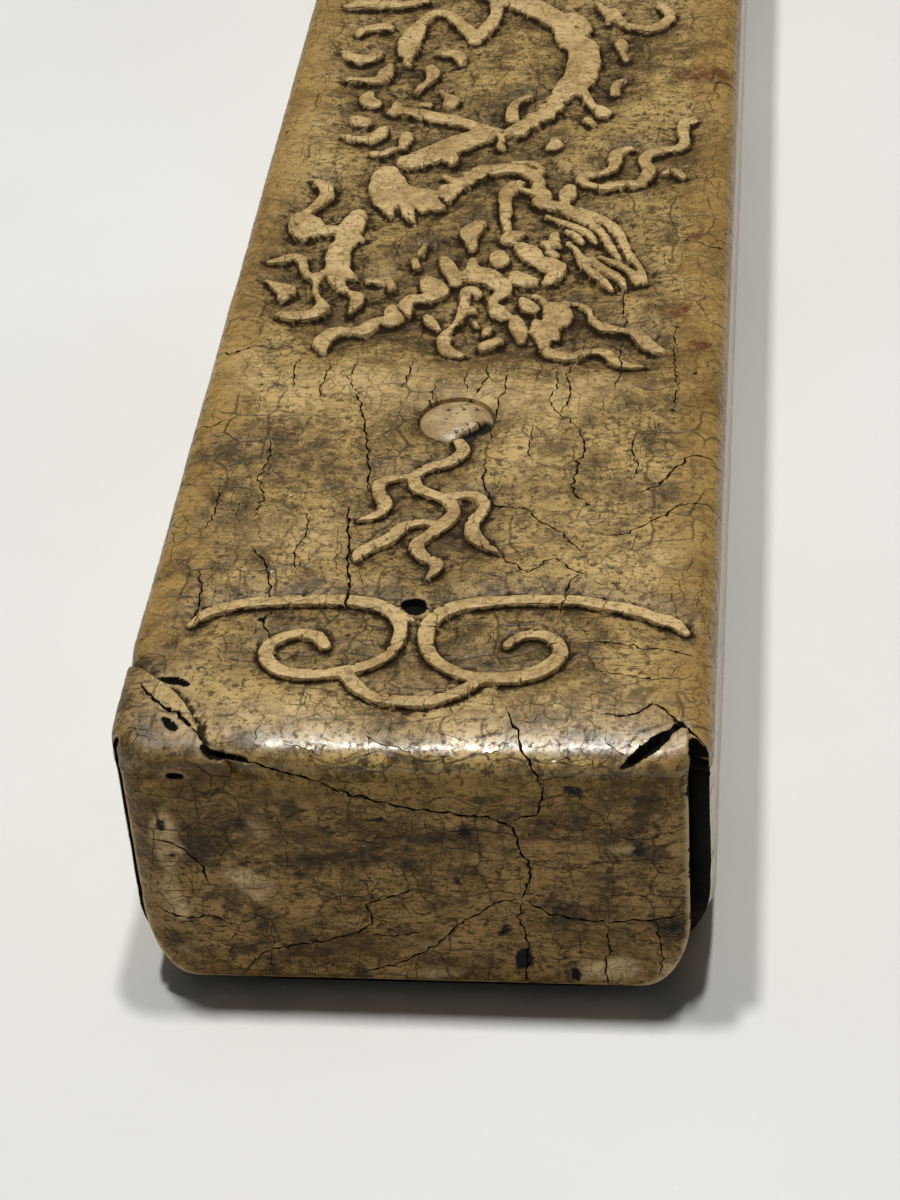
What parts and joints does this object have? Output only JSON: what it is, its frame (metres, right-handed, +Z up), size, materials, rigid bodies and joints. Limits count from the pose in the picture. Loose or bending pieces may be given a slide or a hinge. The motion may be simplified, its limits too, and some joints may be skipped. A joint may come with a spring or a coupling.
{
  "type": "ink stick",
  "caption": "Soft-edged moulded bar with a gilt lacquer coat over a black core, its top carved in sunk relief with a scroll, a flaming pearl and a dragon.",
  "frame": {"origin": "centre of the underside", "axes": "+Y along the bar from the scroll end that is seen to the far end, +X to the right of someone looking along +Y, +Z up out of the carved face"},
  "size_m": [0.03, 0.125, 0.0175],
  "materials": {
    "pressed_ink": "matte black pressed ink",
    "top_coat": "worn gilt lacquer, satin, crackled",
    "side_coat": "worn gilt lacquer, satin, crackled",
    "end_coat": "darker worn lacquer, satin, cracked",
    "under_coat": "rubbed dark lacquer, satin",
    "pearl_shell": "polished pale disc"
  },
  "bodies": {
    "root": {"ink_core": "pressed_ink", "top_skin": "top_coat", "under_skin": "under_coat", "left_side_skin": "side_coat", "right_side_skin": "side_coat", "near_end_skin": "end_coat", "far_end_skin": "end_coat", "pearl": "pearl_shell"}
  },
  "joints": []
}
